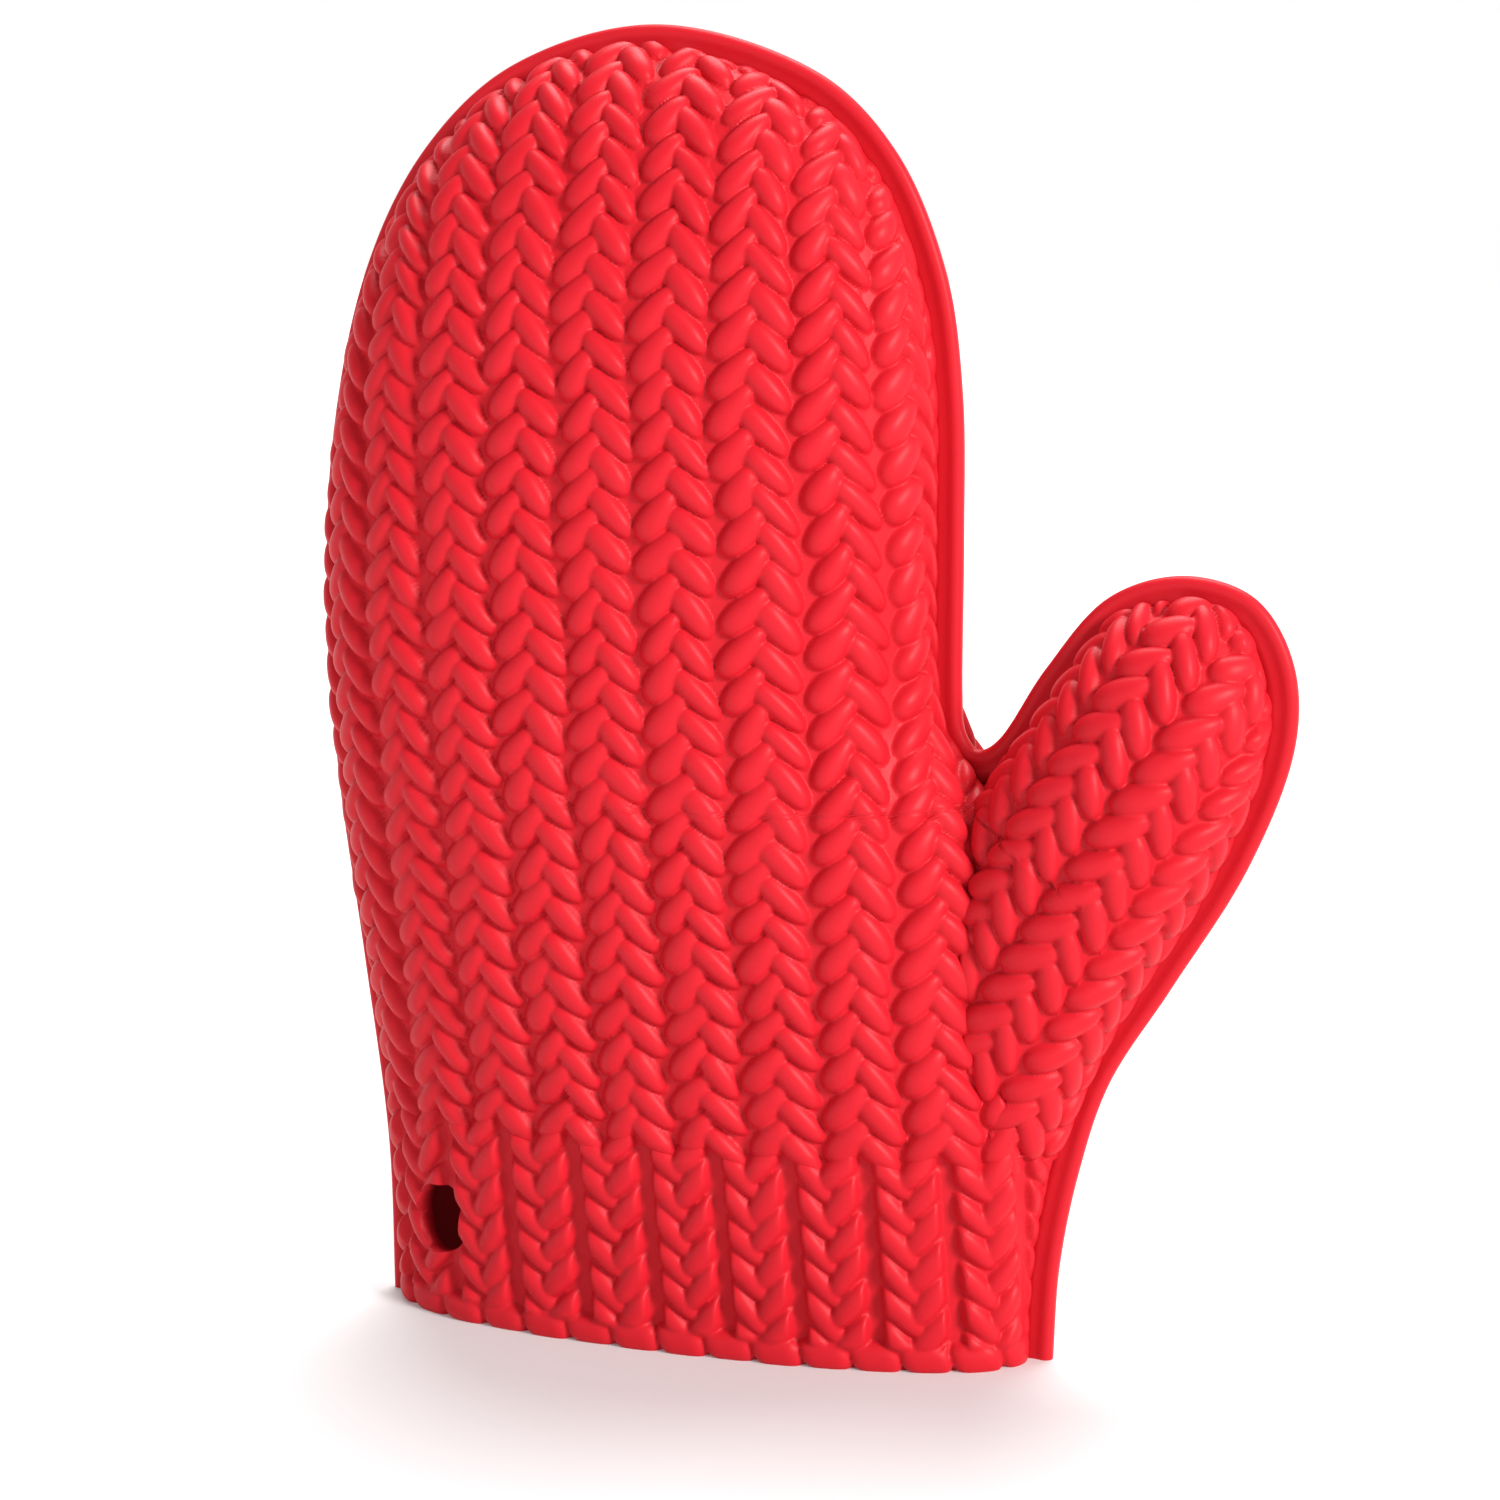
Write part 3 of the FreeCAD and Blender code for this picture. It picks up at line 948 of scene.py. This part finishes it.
def silicone_material(settings):
    """Satin moulded rubber: slow colour drift, a fine tool grain and uneven gloss."""
    material = bpy.data.materials.new("red_silicone")
    nodes = Nodes(material)
    place = nodes.add("ShaderNodeTexCoord").outputs["Object"]
    drift, grain, haze = (
        nodes.add("ShaderNodeTexNoise", {}, {"Vector": place, "Scale": scale, "Detail": detail})
        for scale, detail in ((22.0, 3.0), (2600.0, 2.0), (160.0, 4.0))
    )
    red = linear(settings.silicone_colour)
    deep = (*(channel * share for channel, share in zip(red, DEEPER)), 1.0)
    colour = nodes.add(
        "ShaderNodeMix",
        {"data_type": "RGBA"},
        {"Factor": nodes.value(drift) * 0.5, "A": red, "B": deep},
    )
    rough = settings.silicone_roughness - HAZE / 2 + nodes.value(haze) * HAZE
    height = nodes.value(grain) * 0.6 + nodes.value(haze) * 0.4
    bump = nodes.add(
        "ShaderNodeBump", {}, {"Strength": 0.12, "Distance": 0.0002, "Height": height}
    )
    shader = nodes.add(
        "ShaderNodeBsdfPrincipled",
        {},
        {
            "Base Color": colour.outputs[2],
            "Roughness": rough,
            "IOR": 1.41,
            "Normal": bump.outputs["Normal"],
            "Specular IOR Level": 0.16,
        },
    )
    nodes.add("ShaderNodeOutputMaterial", {}, {"Surface": shader.outputs[0]})
    return material


def floor_material(settings):
    """A matt studio floor with the faintest mottling."""
    material = bpy.data.materials.new("studio_floor")
    nodes = Nodes(material)
    place = nodes.add("ShaderNodeTexCoord").outputs["Object"]
    mottle = nodes.add("ShaderNodeTexNoise", {}, {"Vector": place, "Scale": 3.0, "Detail": 2.0})
    pale = (*[settings.floor_shade] * 3, 1.0)
    dim = (*[settings.floor_shade * DIMMER] * 3, 1.0)
    colour = nodes.add(
        "ShaderNodeMix",
        {"data_type": "RGBA"},
        {"Factor": nodes.value(mottle), "A": pale, "B": dim},
    )
    shader = nodes.add(
        "ShaderNodeBsdfPrincipled",
        {},
        {
            "Base Color": colour.outputs[2],
            "Roughness": 0.9,
            "Emission Color": WHITE,
            "Emission Strength": settings.floor_glow,
        },
    )
    nodes.add("ShaderNodeOutputMaterial", {}, {"Surface": shader.outputs[0]})
    return material


def studio_world(settings):
    """White at the horizon, dimmer overhead, like a lit sweep under a dark ceiling."""
    world = bpy.data.worlds.new("studio")
    nodes = Nodes(world)
    place = nodes.add("ShaderNodeTexCoord").outputs["Generated"]
    split = nodes.add("ShaderNodeSeparateXYZ", {}, {0: place})
    fade = nodes.add(
        "ShaderNodeMapRange",
        {"interpolation_type": "SMOOTHSTEP"},
        {
            "Value": split.outputs["Z"],
            "From Min": 0.14,
            "From Max": 0.5,
            "To Min": 1.0,
            "To Max": settings.ceiling_light,
        },
    )
    light = nodes.add("ShaderNodeBackground", {}, {"Color": WHITE, "Strength": fade.outputs[0]})
    nodes.add("ShaderNodeOutputWorld", {}, {"Surface": light.outputs[0]})
    return world


# ---------------------------------------------------------------- settings


class MittSettings(bpy.types.PropertyGroup):
    silicone_colour: bpy.props.FloatVectorProperty(
        name="Silicone colour",
        description="Pigment of the moulded silicone",
        subtype="COLOR_GAMMA",
        size=3,
        default=(0.775, 0.115, 0.16),
        min=0.0,
        max=1.0,
    )
    silicone_roughness: bpy.props.FloatProperty(
        name="Silicone roughness",
        description="How matt the moulded surface is",
        default=0.42,
        min=0.0,
        max=1.0,
    )
    stitch_seed: bpy.props.IntProperty(
        name="Stitch seed",
        description="Choice of the small differences between stitches",
        default=11,
        min=0,
    )


class StageSettings(bpy.types.PropertyGroup):
    azimuth: bpy.props.FloatProperty(
        name="Camera azimuth",
        description="How far round towards the thumb the camera stands",
        subtype="ANGLE",
        default=math.radians(18.8),
    )
    elevation: bpy.props.FloatProperty(
        name="Camera elevation",
        description="How far above the horizon the camera looks from",
        subtype="ANGLE",
        default=math.radians(9.7),
    )
    distance: bpy.props.FloatProperty(
        name="Camera distance",
        description="Distance from the camera to the middle of the mitt",
        unit="LENGTH",
        default=0.747,
    )
    lens: bpy.props.FloatProperty(
        name="Camera lens",
        description="Focal length for a 36 mm wide sensor, in millimetres",
        default=84.0,
    )
    ceiling_light: bpy.props.FloatProperty(
        name="Ceiling light",
        description="Brightness of the studio overhead, against 1 at the horizon",
        default=0.35,
        min=0.0,
    )
    floor_shade: bpy.props.FloatProperty(
        name="Floor shade",
        description="Brightness of the studio floor",
        default=0.66,
        min=0.0,
        max=1.0,
    )
    floor_glow: bpy.props.FloatProperty(
        name="Floor glow",
        description="Light that the floor gives off, as a lit table does",
        default=0.1,
        min=0.0,
    )


# ---------------------------------------------------------------- operators

# The thumb's leaf differences are drawn from a seed this far from the hand's.
THUMB_SEED = 20
# The floor's half size in metres, and the camera's sensor width and target in millimetres.
FLOOR_HALF = 6.0
SENSOR_WIDTH = 36.0
CAMERA_TARGET = (-9.35, 0, 128.0)
# Each light's name, the side it comes from, its height, its softness and its power.
LIGHTS = (
    ("key", 64.0, 24.0, 18.0, 3.9),
    ("top", 184.0, 66.0, 42.0, 3.9),
)


def silicone():
    """The shared silicone material, made on first use."""
    found = bpy.data.materials.get("red_silicone")
    return found or silicone_material(bpy.context.scene.mitt_settings)


def finish_piece(piece, nodes):
    """Give a piece its silicone and hide the CAD nodes that it stands for."""
    piece.data.materials.append(silicone())
    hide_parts(*nodes)


def bend_fingers(piece):
    """Bake a piece's place into its mesh; no bend at the knuckles is set up."""
    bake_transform(piece)


def bend_thumb(piece):
    """Bake a piece's place into its mesh. The fold's axis and the direction away from it are
    worked out but not used, so no bend is set up.
    """
    axis = Vector(THUMB_HINGE["axis"])
    away = axis.cross(Vector((0, 1, 0))).normalized()
    away = away if away.x > 0 else -away
    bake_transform(piece)


class MITT_OT_cuff(bpy.types.Operator):
    """Mould the ribbed cuff, front and back, with its cast-off edge and hanging hole"""

    bl_idname = "mitt.cuff"
    bl_label = "Cuff"

    def execute(self, context):
        seed = context.scene.mitt_settings.stitch_seed
        for side, word in SIDE_NAMES.items():
            piece = cuff_skin("ribbed_cuff_" + word, side, seed + side)
            if side == FRONT:
                punch_hole(piece)
            finish_piece(piece, ["cuff_" + word, "cuff_edge_" + word])
            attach(piece, "palm")
        return {"FINISHED"}


class MITT_OT_palm(bpy.types.Operator):
    """Mould the palm and the back of the hand up to the knuckles"""

    bl_idname = "mitt.palm"
    bl_label = "Palm"

    def execute(self, context):
        seed = context.scene.mitt_settings.stitch_seed
        for side, word in SIDE_NAMES.items():
            piece = hand_skin("knit_palm_" + word, side, CUFF_TOP - LAP, KNUCKLE, seed + side)
            finish_piece(piece, ["palm_" + word])
            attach(piece, "palm")
        return {"FINISHED"}


class MITT_OT_fingers(bpy.types.Operator):
    """Mould the finger pocket: the knuckles and the fingertips"""

    bl_idname = "mitt.fingers"
    bl_label = "Fingers"

    def execute(self, context):
        seed = context.scene.mitt_settings.stitch_seed
        parts = (
            ("knit_knuckles_", "knuckle_flex_", KNUCKLE, FINGER_START),
            ("knit_fingertips_", "fingers_", FINGER_START, HAND_TOP),
        )
        for side, word in SIDE_NAMES.items():
            for name, node, low, high in parts:
                piece = hand_skin(name + word, side, low, high, seed + side)
                finish_piece(piece, [node + word])
                bend_fingers(piece)
        return {"FINISHED"}


class MITT_OT_thumb(bpy.types.Operator):
    """Mould the thumb, front and back"""

    bl_idname = "mitt.thumb"
    bl_label = "Thumb"

    def execute(self, context):
        seed = context.scene.mitt_settings.stitch_seed
        for side, word in SIDE_NAMES.items():
            piece = thumb_skin("knit_thumb_" + word, side, seed + THUMB_SEED + side)
            finish_piece(piece, ["thumb_" + word, "thumb_flex_" + word])
            bend_thumb(piece)
        return {"FINISHED"}


class MITT_OT_rim(bpy.types.Operator):
    """Lay the moulding rim round the mitt, in three stretches split at the knuckles' level"""

    bl_idname = "mitt.rim"
    bl_label = "Rim"

    def execute(self, context):
        line, inward = rim_path()
        level = line[:, 1]
        rising = int(np.argmax(level > KNUCKLE))
        falling = rising + int(np.argmax(level[rising:] < KNUCKLE))
        stretches = (
            ("rim_hand_side", 0, rising, None),
            ("rim_fingers", rising, falling, bend_fingers),
            ("rim_thumb", falling, len(line) - 1, bend_thumb),
        )
        for name, first, last, bend in stretches:
            piece = rim_strip(name, line[first : last + 1], inward[first : last + 1])
            piece.data.materials.append(silicone())
            if bend:
                bend(piece)
            else:
                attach(piece, "palm")
        return {"FINISHED"}


class MITT_OT_stage(bpy.types.Operator):
    """Set out the floor, the soft studio lights and the camera"""

    bl_idname = "mitt.stage"
    bl_label = "Stage"

    def execute(self, context):
        settings = context.scene.stage_settings
        scene = context.scene
        corners = np.array([(-1, -1, 0), (1, -1, 0), (1, 1, 0), (-1, 1, 0)])
        floor = build_mesh("studio_floor", corners * FLOOR_HALF / MM, [np.array([[0, 1, 2, 3]])])
        floor.data.materials.append(floor_material(settings))
        scene.world = studio_world(settings)
        for name, side, height, softness, power in LIGHTS:
            lamp = bpy.data.lights.new(name, "SUN")
            lamp.angle = math.radians(softness)
            lamp.energy = power
            holder = bpy.data.objects.new(name, lamp)
            holder.rotation_euler = (math.radians(90 - height), 0, math.radians(side))
            scene.collection.objects.link(holder)
        lens = bpy.data.cameras.new("studio_camera")
        lens.sensor_width = SENSOR_WIDTH
        lens.lens = settings.lens
        camera = bpy.data.objects.new("studio_camera", lens)
        az, el = settings.azimuth, settings.elevation
        back = Vector((math.sin(az) * math.cos(el), -math.cos(az) * math.cos(el), math.sin(el)))
        target = Vector(CAMERA_TARGET) * MM
        camera.location = target + back * settings.distance
        camera.rotation_mode = "QUATERNION"
        camera.rotation_quaternion = (-back).to_track_quat("-Z", "Y")
        scene.collection.objects.link(camera)
        scene.camera = camera
        scene.view_settings.view_transform = "Standard"
        return {"FINISHED"}


class MITT_PT_panel(bpy.types.Panel):
    """The mitt's pieces and settings"""

    bl_idname = "MITT_PT_panel"
    bl_label = "Oven Mitt"
    bl_space_type = "VIEW_3D"
    bl_region_type = "UI"
    bl_category = "Mitt"

    def draw(self, context):
        layout = self.layout
        for group in ("mitt_settings", "stage_settings"):
            settings = getattr(context.scene, group)
            for name in settings.__annotations__:
                layout.prop(settings, name)
        for step in STEPS:
            layout.operator(step.bl_idname)


STEPS = (MITT_OT_cuff, MITT_OT_palm, MITT_OT_fingers, MITT_OT_thumb, MITT_OT_rim, MITT_OT_stage)
CLASSES = (MittSettings, StageSettings, *STEPS, MITT_PT_panel)


def register():
    for kind in CLASSES:
        bpy.utils.register_class(kind)
    bpy.types.Scene.mitt_settings = bpy.props.PointerProperty(type=MittSettings)
    bpy.types.Scene.stage_settings = bpy.props.PointerProperty(type=StageSettings)


def unregister():
    del bpy.types.Scene.stage_settings
    del bpy.types.Scene.mitt_settings
    for kind in reversed(CLASSES):
        bpy.utils.unregister_class(kind)


def main():
    register()
    bpy.ops.mitt.cuff()
    bpy.ops.mitt.palm()
    bpy.ops.mitt.fingers()
    bpy.ops.mitt.thumb()
    bpy.ops.mitt.rim()
    bpy.ops.mitt.stage()


if __name__ == "__main__":
    main()
